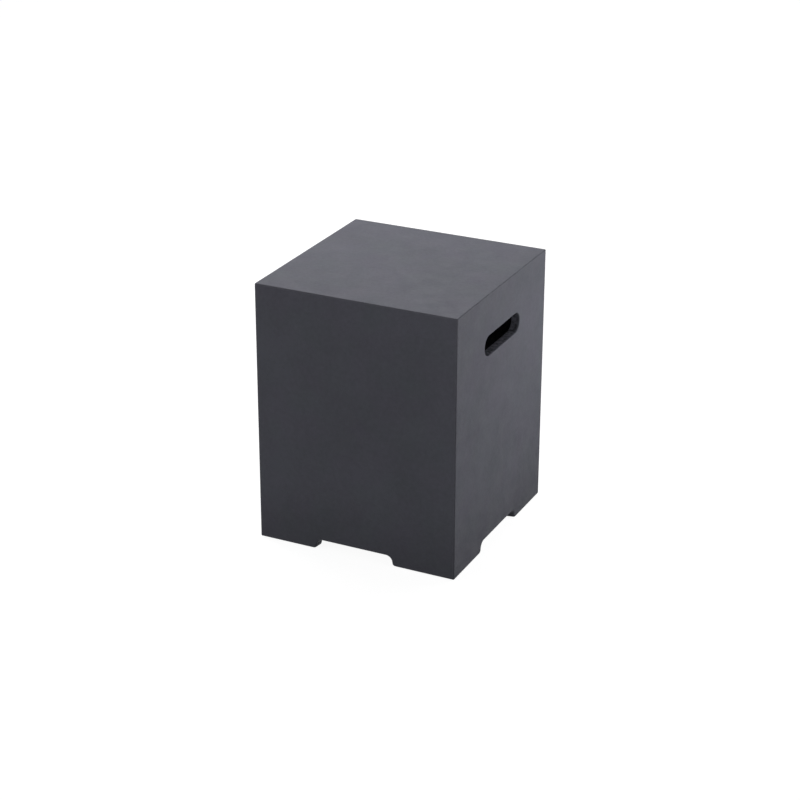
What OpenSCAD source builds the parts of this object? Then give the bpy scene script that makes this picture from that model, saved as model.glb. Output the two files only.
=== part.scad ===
// Square side table that drops over an upright propane cylinder.
// One hollow casting of glass-fibre concrete, open underneath, with a hand slot in two
// opposite walls and a hose notch in the foot of every wall. Four rubber feet are screwed
// into plugs in its corner blocks.
// Millimetres, +Z up, front at -Y. The origin is the centre of the footprint, on the floor.

/* [Casting] */
// Outside width of the casting, the same across X and Y
cast_w = 400; // [370:5:460]
// Height of the casting, without the feet under it
cast_h = 508; // [480:4:560]
// Thickness of the four walls
wall_t = 12; // [10:1:16]
// Thickness of the top slab
slab_t = 16; // [12:1:24]
// Radius of the outside arrises
arris_r = 3; // [1:0.5:4]
// Inside radius of the upright corners
core_r = 30; // [20:1:40]
// Inside radius between the walls and the top slab
ceiling_r = 14; // [8:1:20]

/* [Rim and corner blocks] */
// Extra thickness that the rim and the slot frames have over the walls
edge_build = 4; // [2:0.5:6]
// Height of the thickened rim at the foot of the walls
rim_h = 45; // [42:1:70]
// Inside radius of the rim's corners, which leaves a block for each foot
block_r = 44; // [40:1:52]

/* [Hose notches] */
// Width of each notch between its upright sides
notch_w = 154; // [100:2:180]
// Height of each notch above the bottom of the casting
notch_h = 19; // [19:1:26]
// Radius in the upper corners of each notch
notch_r = 12; // [8:1:12]
// Radius at the toes, where a notch meets the bottom of the casting
toe_r = 6.5; // [5:0.5:6.5]

/* [Hand slots] */
// Length of each slot, measured over its lip on the outside face
slot_l = 162; // [130:2:200]
// Height of each slot, measured over its lip on the outside face
slot_h = 43; // [36:1:52]
// Height of the slot's centre above the bottom of the casting
slot_z = 408; // [300:4:420]
// Radius of the rolled lip on the outside
lip_r = 2; // [1:0.5:6]
// Radius of the eased edge on the inside
inner_lip_r = 1.5; // [1:0.5:4]
// Width of the thickened frame round each slot, inside the wall
frame_w = 22; // [14:1:30]

/* [Feet] */
// Diameter of a rubber foot where it sits in its recess
foot_d = 22; // [20:0.5:24]
// Diameter of a rubber foot where it meets the floor
foot_tip_d = 19; // [17:0.5:20]
// Whole height of a rubber foot
foot_h = 10; // [9:0.5:14]
// How far a rubber foot stands out below the casting
foot_stand = 2; // [1:0.5:3]
// From the outside faces to the centre of a foot, both ways
foot_inset = 18; // [17:0.5:19]
// Clearance round a foot in its recess
foot_clear = 0.3; // [0.1:0.05:0.4]
// Diameter of the well in a foot that hides the screw's head
foot_well_d = 12; // [11.5:0.5:13]
// Thickness of rubber left above the washer
foot_web_t = 4; // [3:0.5:5]

/* [Screws, washers and plugs] */
// Outside diameter of a washer
washer_d = 11; // [9:0.5:11]
// Thickness of a washer
washer_t = 1; // [0.6:0.1:1.2]
// Diameter of a screw's shank
screw_d = 4; // [3.5:0.25:4.5]
// Length of a screw under its head
screw_l = 30; // [26:1:32]
// Diameter of a screw's pan head
head_d = 8; // [7:0.25:8.5]
// Height of a screw's pan head
head_h = 2.4; // [2:0.1:2.6]
// Outside diameter of a wall plug over its barbs
plug_d = 7.5; // [7:0.25:9]
// Length of a wall plug
plug_l = 28; // [26:1:30]
// Radial clearance of a plug in its hole and of a screw in its bore
fit_clear = 0.05; // [0.02:0.01:0.1]

/* [Hidden] */
$fn = 96;
// One overrun for every cut
cut = 5;
// Rim thickness, which is also the thickness of the wall at the slots
rim_t = wall_t + edge_build;
// Half the clear height of a slot at its narrowest
throat_r = slot_h / 2 - lip_r;
// Depth in the wall at which the slot frames start
frame_sink = wall_t / 2;
// Centre distance of a slot's two round ends
slot_run = slot_l - slot_h;
// Depth of a foot's recess in the casting
recess_h = foot_h - foot_stand;
// Height above the floor of the washer's underside
washer_z = foot_h - foot_web_t - washer_t;
// Where a foot stands, from the centre of the footprint
foot_xy = cast_w / 2 - foot_inset;
// Bevel round the tip of a foot
foot_bevel = 0.8;
// Clearance hole for the shank through the washer and the web
shank_clear = 0.25;
// Rounding of a pan head's rim, and its cross recess
head_r = 1;
cross_w = 1.2;
cross_l = 4.6;
cross_h = 1.3;
// Length of a screw's point
point_l = 4;
// Wall plug: collar, barbs, the slit that lets it spread, and the hole's spare depth
collar_h = 2;
barb_count = 6;
barb_depth = 0.7;
slit_w = 0.8;
plug_spare = 2;

// Corner names with the side that each lies on
CORNERS = [
    ["front_left", -1, -1],
    ["front_right", 1, -1],
    ["rear_left", -1, 1],
    ["rear_right", 1, 1]
];
PIECES = ["rubber_foot", "foot_washer", "foot_screw", "wall_plug"];

// Rectangle with rounded corners, centred on X with its lower side on Y = 0
module rounded_panel(w, h, r) {
    translate([-w / 2 + r, 0]) square([w - 2 * r, h]);
    translate([-w / 2, r]) square([w, h - 2 * r]);
    for (x = [-1, 1], y = [r, h - r]) translate([x * (w / 2 - r), y]) circle(r);
}

// The same rectangle, centred both ways
module rounded_square(w, r) {
    translate([0, -w / 2]) rounded_panel(w, w, r);
}

// Stands an outline of X and Z up and runs it through the whole casting along Y
module along_y() {
    rotate([90, 0, 0]) linear_extrude(cast_w + 2 * cut, center = true) children();
}

// The same outline, run through the casting along X
module along_x() {
    rotate([90, 0, 90]) linear_extrude(cast_w + 2 * cut, center = true) children();
}

// The solid block that the outside faces bound, with its arrises
module outside_block() {
    intersection() {
        translate([0, 0, -cut]) linear_extrude(cast_h + 2 * cut) rounded_square(cast_w, arris_r);
        along_y() rounded_panel(cast_w, cast_h, arris_r);
        along_x() rounded_panel(cast_w, cast_h, arris_r);
    }
}

// Half section of an opening whose outside edge is rolled: radius on X, depth from outside on Y
module rolled_section(r, roll) {
    translate([0, -cut]) square([r, rim_t + 2 * cut]);
    difference() {
        translate([0, -cut]) square([r + roll, roll + cut]);
        translate([r + roll, roll]) circle(roll);
    }
}

// Half section of a toe of the wall beside a notch, rolled at the outside face
module toe_section() {
    difference() {
        square([toe_r, rim_t + 2 * cut]);
        difference() {
            translate([toe_r - arris_r, -cut]) square([arris_r + cut, arris_r + cut]);
            translate([toe_r - arris_r, arris_r]) circle(arris_r);
        }
    }
}

// Cutter for one notch, with X along the wall, Y upwards and Z inwards from the outside face
module notch_cutter() {
    half_w = notch_w / 2;
    corner_z = notch_h - notch_r;
    translate([-half_w, -cut, -cut]) cube([notch_w, corner_z + cut, rim_t + 2 * cut]);
    translate([0, corner_z, 0]) {
        rotate([90, 0, 90]) linear_extrude(notch_w - 2 * notch_r, center = true)
            rolled_section(notch_r, arris_r);
        for (side = [0, 1]) mirror([side, 0, 0]) {
            translate([half_w - notch_r, 0, 0]) rotate_extrude() rolled_section(notch_r, arris_r);
            rotate([90, 0, 0]) linear_extrude(corner_z - toe_r) rolled_section(half_w, arris_r);
        }
    }
    for (side = [0, 1]) mirror([side, 0, 0]) translate([half_w, 0, 0]) difference() {
        translate([-cut, -cut, -cut]) cube([toe_r + cut, toe_r + cut, rim_t + 2 * cut]);
        translate([toe_r, toe_r, 0]) rotate_extrude() toe_section();
    }
}

// Section of the hollow: the rim's opening, its slope, the walls and the curve under the slab
module hollow_outline() {
    rim_half = cast_w / 2 - rim_t;
    wall_half = cast_w / 2 - wall_t;
    ceiling_z = cast_h - slab_t;
    polygon([
        [-rim_half, -cut], [rim_half, -cut], [rim_half, rim_h],
        [wall_half, rim_h + edge_build], [wall_half, ceiling_z - ceiling_r],
        [-wall_half, ceiling_z - ceiling_r], [-wall_half, rim_h + edge_build],
        [-rim_half, rim_h]
    ]);
    translate([0, rim_h + edge_build])
        rounded_panel(2 * wall_half, ceiling_z - rim_h - edge_build, ceiling_r);
}

// The hollow for the cylinder, narrower between the corner blocks of the rim
module hollow() {
    intersection() {
        union() {
            translate([0, 0, -cut]) linear_extrude(rim_h + cut) rounded_square(cast_w - 2 * rim_t, block_r);
            translate([0, 0, rim_h]) linear_extrude(cast_h - rim_h)
                rounded_square(cast_w - 2 * wall_t, core_r);
        }
        along_y() hollow_outline();
        along_x() hollow_outline();
    }
}

// Half section of a slot through the thickened wall, eased on the inside too
module slot_section() {
    rolled_section(throat_r, lip_r);
    difference() {
        translate([0, rim_t - inner_lip_r]) square([throat_r + inner_lip_r, inner_lip_r + cut]);
        translate([throat_r + inner_lip_r, rim_t - inner_lip_r]) circle(inner_lip_r);
    }
}

// Cutter for one slot, with its lips, from the outside face inwards along Z
module slot_cutter() {
    for (end = [-1, 1]) translate([0, end * slot_run / 2, 0]) rotate_extrude() slot_section();
    rotate([90, 0, 0]) linear_extrude(slot_run, center = true) {
        slot_section();
        mirror([1, 0]) slot_section();
    }
}

// Plate that thickens the inside of a wall round its slot, rooted in the wall
module slot_frame() {
    frame_r = slot_h / 2 + frame_w;
    linear_extrude(rim_t - frame_sink) {
        for (end = [-1, 1]) translate([0, end * slot_run / 2]) circle(frame_r);
        square([2 * frame_r, slot_run], center = true);
    }
}

// Lays a piece made along Z against a side wall, with Z pointing inwards
module at_wall(side, depth) {
    mirror([side < 0 ? 1 : 0, 0, 0])
        translate([cast_w / 2 - depth, 0, slot_z]) rotate([0, -90, 0]) children();
}

// Stands a cutter at the foot of one wall, turned from the front
module at_wall_foot(turn) {
    rotate(turn) translate([0, -cast_w / 2, 0]) mirror([0, 1, 0]) rotate([90, 0, 0]) children();
}

// Stands a piece at one foot of the table
module at_corner(corner) {
    translate([corner[1] * foot_xy, corner[2] * foot_xy, 0]) children();
}

module cast_shell() {
    plug_hole_h = plug_l + plug_spare;
    color("#54565c") difference() {
        translate([0, 0, foot_stand]) difference() {
            union() {
                difference() {
                    outside_block();
                    hollow();
                }
                for (side = [-1, 1]) at_wall(side, frame_sink) slot_frame();
            }
            for (side = [-1, 1]) at_wall(side, 0) slot_cutter();
            for (turn = [0:90:270]) at_wall_foot(turn) notch_cutter();
        }
        for (corner = CORNERS) at_corner(corner) {
            translate([0, 0, foot_stand - cut]) cylinder(d = foot_d + 2 * foot_clear, h = recess_h + cut);
            translate([0, 0, foot_h - cut]) cylinder(d = plug_d + 2 * fit_clear, h = plug_hole_h + cut);
        }
    }
}

module rubber_foot() {
    well_h = foot_h - foot_web_t;
    color("#1c1c1e") rotate_extrude() difference() {
        polygon([
            [0, 0], [foot_tip_d / 2 - foot_bevel, 0], [foot_tip_d / 2, foot_bevel],
            [foot_d / 2, foot_stand], [foot_d / 2, foot_h], [0, foot_h]
        ]);
        translate([0, -cut]) square([foot_well_d / 2, well_h + cut]);
        translate([0, -cut]) square([screw_d / 2 + shank_clear, foot_h + 2 * cut]);
    }
}

module foot_washer() {
    color("#b4b6b8") translate([0, 0, washer_z]) difference() {
        cylinder(d = washer_d, h = washer_t);
        translate([0, 0, -cut]) cylinder(d = screw_d + 2 * shank_clear, h = washer_t + 2 * cut);
    }
}

module foot_screw() {
    color("#a8aaad") translate([0, 0, washer_z]) {
        difference() {
            rotate_extrude() {
                translate([0, -head_h]) square([head_d / 2 - head_r, head_h]);
                translate([0, -head_h + head_r]) square([head_d / 2, head_h - head_r]);
                translate([head_d / 2 - head_r, -head_h + head_r]) circle(head_r);
            }
            for (turn = [0, 90]) rotate(turn) translate([0, 0, -head_h])
                cube([cross_l, cross_w, 2 * cross_h], center = true);
        }
        cylinder(d = screw_d, h = screw_l - point_l);
        translate([0, 0, screw_l - point_l]) cylinder(d1 = screw_d, d2 = 0, h = point_l);
    }
}

// Nylon plug with a collar at its mouth, barbs that grip the hole and a slit that lets it spread
module wall_plug() {
    barb_pitch = (plug_l - collar_h) / barb_count;
    barb_r = plug_d / 2;
    waist_r = barb_r - barb_depth;
    bore_r = screw_d / 2 + fit_clear;
    barbs = [for (i = [0:barb_count - 1], step = [0, 1])
        [step == 0 ? barb_r : waist_r, collar_h + (i + step) * barb_pitch]];
    color("#8d9093") translate([0, 0, foot_h]) difference() {
        rotate_extrude() polygon(concat([[bore_r, 0], [barb_r, 0]], barbs, [[bore_r, plug_l]]));
        translate([-plug_d, -slit_w / 2, collar_h]) cube([2 * plug_d, slit_w, plug_l]);
    }
}

cast_shell();
for (corner = CORNERS) at_corner(corner) {
    rubber_foot();
    foot_washer();
    foot_screw();
    wall_plug();
}
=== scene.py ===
import math
from functools import partial
import bmesh
import bpy
from mathutils import Matrix, Vector


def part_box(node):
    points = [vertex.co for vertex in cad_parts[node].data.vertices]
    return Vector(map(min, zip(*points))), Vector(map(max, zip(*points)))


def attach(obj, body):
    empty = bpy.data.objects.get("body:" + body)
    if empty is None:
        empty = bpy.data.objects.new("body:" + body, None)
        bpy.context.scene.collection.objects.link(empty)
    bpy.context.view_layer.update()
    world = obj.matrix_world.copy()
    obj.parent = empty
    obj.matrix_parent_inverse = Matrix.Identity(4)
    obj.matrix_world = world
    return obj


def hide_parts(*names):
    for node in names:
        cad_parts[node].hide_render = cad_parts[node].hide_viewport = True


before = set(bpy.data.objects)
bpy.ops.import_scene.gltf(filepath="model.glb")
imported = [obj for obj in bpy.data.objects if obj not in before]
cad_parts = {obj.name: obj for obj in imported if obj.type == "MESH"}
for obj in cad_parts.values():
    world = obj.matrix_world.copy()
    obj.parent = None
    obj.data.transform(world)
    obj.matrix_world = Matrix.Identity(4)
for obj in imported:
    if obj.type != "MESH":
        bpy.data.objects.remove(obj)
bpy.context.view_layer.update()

mm = 0.001
shellLow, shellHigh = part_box("cast_shell")
footNodes = sorted(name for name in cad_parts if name.startswith("rubber_foot"))
footLow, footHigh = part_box("rubber_foot_front_right")
print("frame loaded:", len(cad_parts), "nodes")


# sRGB hex to the linear colour that the shaders take
def hexColour(text):
    parts = [int(text[i:i + 2], 16) / 255 for i in (1, 3, 5)]
    return tuple(c / 12.92 if c <= 0.04045 else ((c + 0.055) / 1.055) ** 2.4 for c in parts) + (1.0,)


# adds one node; an input takes a value, a node, one of a node's outputs, or a list of those
def addNode(tree, kind, inputs=None, **settings):
    node = tree.nodes.new(kind)
    for key, value in settings.items():
        setattr(node, key, value)
    for key, value in (inputs or {}).items():
        for source in value if isinstance(value, list) else [value]:
            if isinstance(source, bpy.types.Node):
                source = next(out for out in source.outputs if out.enabled)
            if isinstance(source, bpy.types.NodeSocket):
                tree.links.new(source, node.inputs[key])
            else:
                node.inputs[key].default_value = source
    return node


# starts a geometry tree, with a named input for each size, and gives what adds nodes to it
def newTree(name, sizes, takes=None):
    tree = bpy.data.node_groups.new(name, "GeometryNodeTree")
    kinds = {float: "Float", int: "Int", tuple: "Vector"}
    if takes:
        tree.interface.new_socket(takes, in_out="INPUT", socket_type="NodeSocketGeometry")
    for label, value in sizes.items():
        kind = "NodeSocket" + kinds.get(type(value), "Material")
        tree.interface.new_socket(label, in_out="INPUT", socket_type=kind).default_value = value
    tree.interface.new_socket("Mesh", in_out="OUTPUT", socket_type="NodeSocketGeometry")
    add = partial(addNode, tree)
    return tree, add, add("NodeGroupInput").outputs


# runs a tree on a blank object, then keeps what it grows as one plain mesh piece
def growPiece(name, tree, sizes, source=None):
    blank = bpy.data.objects.new(name + "Blank", source or bpy.data.meshes.new(name + "Blank"))
    bpy.context.scene.collection.objects.link(blank)
    modifier = blank.modifiers.new("grow", "NODES")
    modifier.node_group = tree
    for socket in tree.interface.items_tree:
        if socket.in_out == "INPUT" and socket.name in sizes:
            modifier[socket.identifier] = sizes[socket.name]
    return keepMesh(name, blank)


# the evaluated shape of an object as a plain mesh in an object of its own
def keepMesh(name, blank):
    mesh = bpy.data.meshes.new_from_object(blank.evaluated_get(bpy.context.evaluated_depsgraph_get()))
    piece = bpy.data.objects.new(name, mesh)
    bpy.context.scene.collection.objects.link(piece)
    blank.modifiers.clear()
    bpy.data.objects.remove(blank)
    mesh.name = name
    if mesh.materials and mesh.materials[0] is None:
        mesh.materials.pop(index=0)
    return piece


# millimetres to metres for a whole dictionary; whole numbers are counts and stay
def inMetres(sizes):
    metres = {}
    for label, value in sizes.items():
        if isinstance(value, float):
            value = value * mm
        elif isinstance(value, tuple):
            value = tuple(v * mm for v in value)
        metres[label] = value
    return metres


# camera: fitted to the arrises of the object, no shift
view = {
    "lens": 94.32, "distance": 3.9385,
    "yaw": 25.844, "pitch": 23.684, "roll": 0.141,
    "aside": 0.00564, "below": 0.01326,
    "target": (0.0, 0.0, 0.256),
}
yaw, pitch, roll = (math.radians(view[key]) for key in ("yaw", "pitch", "roll"))
back = Vector((math.sin(yaw) * math.cos(pitch), -math.cos(yaw) * math.cos(pitch), math.sin(pitch)))
level = Vector((math.cos(yaw), math.sin(yaw), 0))
upright = back.cross(level)
right = level * math.cos(roll) + upright * math.sin(roll)
up = upright * math.cos(roll) - level * math.sin(roll)
place = Vector(view["target"]) + back * view["distance"] - right * view["aside"] - up * view["below"]
camera = bpy.data.objects.new("camera", bpy.data.cameras.new("camera"))
camera.data.lens, camera.data.sensor_width = view["lens"], 36
camera.data.clip_end = 50
camera.matrix_world = Matrix.Translation(place) @ Matrix((right, up, back)).transposed().to_4x4()
bpy.context.scene.collection.objects.link(camera)
bpy.context.scene.camera = camera
print("camera placed")


# an empty material, what adds nodes to it, and object coordinates in metres to place its patterns
def startMaterial(name):
    material = bpy.data.materials.new(name)
    material.use_nodes = True
    material.node_tree.nodes.clear()
    add = partial(addNode, material.node_tree)
    return material, add, add("ShaderNodeTexCoord").outputs["Object"]


# closes a material with one principled shader
def finishMaterial(material, add, inputs):
    add("ShaderNodeOutputMaterial", {"Surface": add("ShaderNodeBsdfPrincipled", inputs)})
    return material


sealedLook = {
    "dark": "#666770", "light": "#6d6e78", "pale": "#7a7b84", "pore": "#45464a",
    "green": "#fcfffd", "plum": "#fffcff", "toneMm": 60.0,
    "cloudMm": 110.0, "patchMm": 26.0, "fleckMm": 7.0, "streakMm": 34.0,
    "sandMm": 0.8, "sandContrast": 0.07, "poreMm": 4.2, "poreShare": 0.28, "poreSize": 0.085,
    "glossy": 0.58, "dull": 0.70, "specular": 0.2,
    "wearAndHighlight": 0.55, "wearAndHighlightMm": 5.0, "arrisShade": 0.35, "arrisShadeMm": 2.4,
    "bottomShade": 0.77, "bottomShadeMm": 160.0, "scrapedAndShadedDark": 0.36, "scrapedPale": 1.26,
}


# how far a point is from the nearest arris of the casting, and how deep it lies under the faces
def arrisAndDepth(add, spot):
    centre, half = tuple((shellLow + shellHigh) / 2), tuple((shellHigh - shellLow) / 2)
    away = add("ShaderNodeVectorMath", {0: spot, 1: centre}, operation="SUBTRACT")
    away = add("ShaderNodeVectorMath", {0: away}, operation="ABSOLUTE")
    depth = add("ShaderNodeVectorMath", {0: half, 1: away}, operation="SUBTRACT")
    depths = add("ShaderNodeSeparateXYZ", {0: depth}).outputs
    less = add("ShaderNodeMath", {0: depths["X"], 1: depths["Y"]}, operation="MINIMUM")
    more = add("ShaderNodeMath", {0: depths["X"], 1: depths["Y"]}, operation="MAXIMUM")
    more = add("ShaderNodeMath", {0: more, 1: depths["Z"]}, operation="MINIMUM")
    arris = add("ShaderNodeMath", {0: less, 1: more}, operation="MAXIMUM")  # the second smallest of the three
    return arris, add("ShaderNodeMath", {0: less, 1: depths["Z"]}, operation="MINIMUM")


# cement slip cast against a smooth mould and sealed: clouds where it dried unevenly, a faint sand
# grain, a few pin-holes, and paler arrises, partly rubbed and partly painted highlight, with a thin line of
# painted shade on them, all under a low sheen
def sealedConcrete(look):
    material, add, spot = startMaterial("sealed_concrete")
    clouds = add("ShaderNodeTexNoise", {
        "Vector": spot, "Scale": 1000 / look["cloudMm"], "Detail": 3.0, "Roughness": 0.45, "Distortion": 0.4})
    patches = add("ShaderNodeTexNoise", {
        "Vector": spot, "Scale": 1000 / look["patchMm"], "Detail": 4.0, "Roughness": 0.55})
    flecks = add("ShaderNodeTexNoise", {
        "Vector": spot, "Scale": 1000 / look["fleckMm"], "Detail": 2.0, "Roughness": 0.5})
    hanging = add("ShaderNodeMapping", {"Vector": spot, "Scale": (1.0, 1.0, 0.16)})
    streaks = add("ShaderNodeTexNoise", {
        "Vector": hanging, "Scale": 1000 / look["streakMm"], "Detail": 2.0, "Roughness": 0.4})
    blend = -0.69  # keeps the sum of the four between the dark and the light
    for pattern, share in ((patches, 0.48), (flecks, 0.9), (streaks, 0.35), (clouds, 1.0)):
        blend = add("ShaderNodeMath", {0: pattern, 1: share, 2: blend}, operation="MULTIPLY_ADD")
    shade = add("ShaderNodeMapRange", {"Value": blend, "From Min": 0.42, "From Max": 0.92})
    colour = add("ShaderNodeMixRGB", {
        "Fac": shade, "Color1": hexColour(look["dark"]), "Color2": hexColour(look["light"])})

    # sand shows through the slip as a fine grain
    sand = add("ShaderNodeTexNoise", {
        "Vector": spot, "Scale": 1000 / look["sandMm"], "Detail": 2.0, "Roughness": 0.6})
    grain = add("ShaderNodeMapRange", {
        "Value": sand, "From Min": 0.3, "From Max": 0.7, "To Min": 1 - look["sandContrast"],
        "To Max": 1 + look["sandContrast"]})
    grained = add("ShaderNodeVectorMath", {0: colour, "Scale": grain}, operation="SCALE")

    # the sealer dried greener here and plummier there
    tones = add("ShaderNodeTexNoise", {
        "Vector": spot, "Scale": 1000 / look["toneMm"], "Detail": 3.0, "W": 3.0}, noise_dimensions="4D")
    tone = add("ShaderNodeMapRange", {"Value": tones, "From Min": 0.35, "From Max": 0.65})
    tint = add("ShaderNodeMixRGB", {
        "Fac": tone, "Color1": hexColour(look["green"]), "Color2": hexColour(look["plum"])})
    grained = add("ShaderNodeVectorMath", {0: grained, 1: tint}, operation="MULTIPLY")

    # painted shade: the walls are darker towards the floor, below about 160 mm, with an uneven top edge
    height = add("ShaderNodeSeparateXYZ", {0: spot}).outputs["Z"]
    bottomShadeHeight = add("ShaderNodeMath", {0: patches, 1: 0.04, 2: height}, operation="MULTIPLY_ADD")
    bottomShade = add("ShaderNodeMapRange", {
        "Value": bottomShadeHeight, "From Min": 0.02, "From Max": look["bottomShadeMm"] * mm, "To Min": look["bottomShade"],
        "To Max": 1.0}, interpolation_type="SMOOTHSTEP")
    grained = add("ShaderNodeVectorMath", {0: grained, "Scale": bottomShade}, operation="SCALE")

    # pin-holes, too fine to model, in some cells only
    cells = add("ShaderNodeTexVoronoi", {"Vector": spot, "Scale": 1000 / look["poreMm"]})
    draw = add("ShaderNodeSeparateColor", {0: cells.outputs["Color"]}).outputs["Red"]
    poreSize = add("ShaderNodeMapRange", {
        "Value": draw, "From Min": 1 - look["poreShare"], "To Max": look["poreSize"]})
    inPore = add("ShaderNodeMath", {0: poreSize, 1: cells.outputs["Distance"]}, operation="SUBTRACT")
    pore = add("ShaderNodeMapRange", {
        "Value": inPore, "From Min": -0.01, "From Max": 0.02}, interpolation_type="SMOOTHSTEP")
    colour = add("ShaderNodeMixRGB", {"Fac": pore, "Color1": grained, "Color2": hexColour(look["pore"])})

    # a pale band beside each arris, partly rubbed wear and partly a painted highlight; a thin dark line of
    # painted shade lies on it
    arris, sunk = arrisAndDepth(add, spot)
    wearAndHighlightBand = add("ShaderNodeMapRange", {
        "Value": arris, "From Min": 0.0005, "From Max": look["wearAndHighlightMm"] * mm, "To Min": look["wearAndHighlight"],
        "To Max": 0.0}, interpolation_type="SMOOTHSTEP")
    wearAndHighlightBand = add("ShaderNodeMath", {0: wearAndHighlightBand, 1: patches}, operation="MULTIPLY")
    colour = add("ShaderNodeMixRGB", {"Fac": wearAndHighlightBand, "Color1": colour, "Color2": hexColour(look["pale"])})
    # painted shade: a thin dark line along each arris, in the pin-hole colour
    line = add("ShaderNodeMapRange", {
        "Value": arris, "From Min": 0.0003, "From Max": look["arrisShadeMm"] * mm, "To Min": look["arrisShade"],
        "To Max": 0.0}, interpolation_type="SMOOTHSTEP")
    colour = add("ShaderNodeMixRGB", {"Fac": line, "Color1": colour, "Color2": hexColour(look["pore"])})

    # the openings are scraped out by hand, so inside them the cement is blotched dark and pale, and on the
    # whole darker, a painted shade in the recesses
    scrapedAndShaded = add("ShaderNodeMapRange", {
        "Value": flecks, "From Min": 0.35, "From Max": 0.65, "To Min": look["scrapedAndShadedDark"],
        "To Max": look["scrapedPale"]})
    openingShade = add("ShaderNodeMapRange", {
        "Value": sunk, "From Min": 0.001, "From Max": 0.006, "To Min": 1.0, "To Max": scrapedAndShaded},
        interpolation_type="SMOOTHSTEP")
    colour = add("ShaderNodeVectorMath", {0: colour, "Scale": openingShade}, operation="SCALE")

    roughness = add("ShaderNodeMapRange", {
        "Value": patches, "From Min": 0.3, "From Max": 0.7, "To Min": look["glossy"], "To Max": look["dull"]})
    relief = add("ShaderNodeMath", {0: pore, 1: -1.5, 2: sand}, operation="MULTIPLY_ADD")
    fine = add("ShaderNodeBump", {"Height": relief, "Strength": 0.5, "Distance": 0.00012})
    slow = add("ShaderNodeBump", {"Height": patches, "Strength": 0.4, "Distance": 0.0005, "Normal": fine})
    return finishMaterial(material, add, {
        "Base Color": colour, "Roughness": roughness, "Normal": slow, "Specular IOR Level": look["specular"]})


handLaidLook = {
    "dark": "#505055", "light": "#6d6d70", "dust": "#85858a",
    "lumpMm": 16.0, "grainMm": 1.6, "strandMm": 9.0, "roughness": 0.92, "specular": 0.12,
}


# the same mix pressed on from behind and left open: lumps, drag marks of the strands, dry sand
def handLaidConcrete(look):
    material, add, spot = startMaterial("hand_laid_concrete")
    lumps = add("ShaderNodeTexNoise", {
        "Vector": spot, "Scale": 1000 / look["lumpMm"], "Detail": 5.0, "Roughness": 0.6})
    sand = add("ShaderNodeTexNoise", {
        "Vector": spot, "Scale": 1000 / look["grainMm"], "Detail": 3.0, "Roughness": 0.7})
    bent = add("ShaderNodeVectorMath", {
        0: lumps.outputs["Color"], 1: (0.02, 0.02, 0.02), 2: spot}, operation="MULTIPLY_ADD")
    strands = add("ShaderNodeTexVoronoi", {
        "Vector": bent, "Scale": 1000 / look["strandMm"]}, feature="DISTANCE_TO_EDGE")
    ridge = add("ShaderNodeMapRange", {"Value": strands, "From Max": 0.05, "To Min": 1.0, "To Max": 0.0})
    colour = add("ShaderNodeMixRGB", {
        "Fac": lumps, "Color1": hexColour(look["dark"]), "Color2": hexColour(look["light"])})
    dusty = add("ShaderNodeMapRange", {"Value": sand, "From Min": 0.55, "From Max": 0.75, "To Max": 0.6})
    dusted = add("ShaderNodeMixRGB", {"Fac": dusty, "Color1": colour, "Color2": hexColour(look["dust"])})
    relief = add("ShaderNodeMath", {0: sand, 1: 0.35, 2: lumps}, operation="MULTIPLY_ADD")
    relief = add("ShaderNodeMath", {0: ridge, 1: 0.12, 2: relief}, operation="MULTIPLY_ADD")
    bump = add("ShaderNodeBump", {"Height": relief, "Strength": 0.9, "Distance": 0.0016})
    return finishMaterial(material, add, {
        "Base Color": dusted, "Roughness": look["roughness"], "Normal": bump,
        "Specular IOR Level": look["specular"]})


strandLook = {"glass": "#8f938e", "slip": "#64646a", "coatMm": 5.0, "filamentsPerMm": 6.0, "roughness": 0.6}


# chopped glass roving, half wetted by the slip: pale where the glass is bare, grey where it is coated,
# with its filaments drawn coarser than they are, so that they show
def glassStrand(look):
    material, add, spot = startMaterial("glass_strand")
    coat = add("ShaderNodeTexNoise", {"Vector": spot, "Scale": 1000 / look["coatMm"], "Detail": 2.0})
    coated = add("ShaderNodeMapRange", {"Value": coat, "From Min": 0.42, "From Max": 0.55})
    colour = add("ShaderNodeMixRGB", {
        "Fac": coated, "Color1": hexColour(look["glass"]), "Color2": hexColour(look["slip"])})
    fibres = add("ShaderNodeTexNoise", {"Vector": spot, "Scale": 1000 * look["filamentsPerMm"]})
    bump = add("ShaderNodeBump", {"Height": fibres, "Strength": 0.4, "Distance": 0.0001})
    return finishMaterial(material, add, {
        "Base Color": colour, "Roughness": look["roughness"], "Normal": bump})


rubberLook = {"black": "#1b1b1d", "bloom": "#2e2e31", "bloomMm": 7.0, "grainMm": 0.35, "roughness": 0.78}


# moulded rubber: near black, with a grey bloom in patches and the matt grain of the mould
def mouldedRubber(look):
    material, add, spot = startMaterial("moulded_rubber")
    patches = add("ShaderNodeTexNoise", {"Vector": spot, "Scale": 1000 / look["bloomMm"], "Detail": 4.0})
    bloomed = add("ShaderNodeMapRange", {"Value": patches, "From Min": 0.4, "From Max": 0.75})
    colour = add("ShaderNodeMixRGB", {
        "Fac": bloomed, "Color1": hexColour(look["black"]), "Color2": hexColour(look["bloom"])})
    grain = add("ShaderNodeTexNoise", {"Vector": spot, "Scale": 1000 / look["grainMm"], "Detail": 2.0})
    bump = add("ShaderNodeBump", {"Height": grain, "Strength": 0.5, "Distance": 0.00005})
    return finishMaterial(material, add, {
        "Base Color": colour, "Roughness": look["roughness"], "Normal": bump})


steelLook = {
    "bright": "#c3c6c9", "dull": "#9da0a2", "crystalMm": 1.4, "cloudMm": 2.5, "smooth": 0.28, "rough": 0.48}


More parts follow.
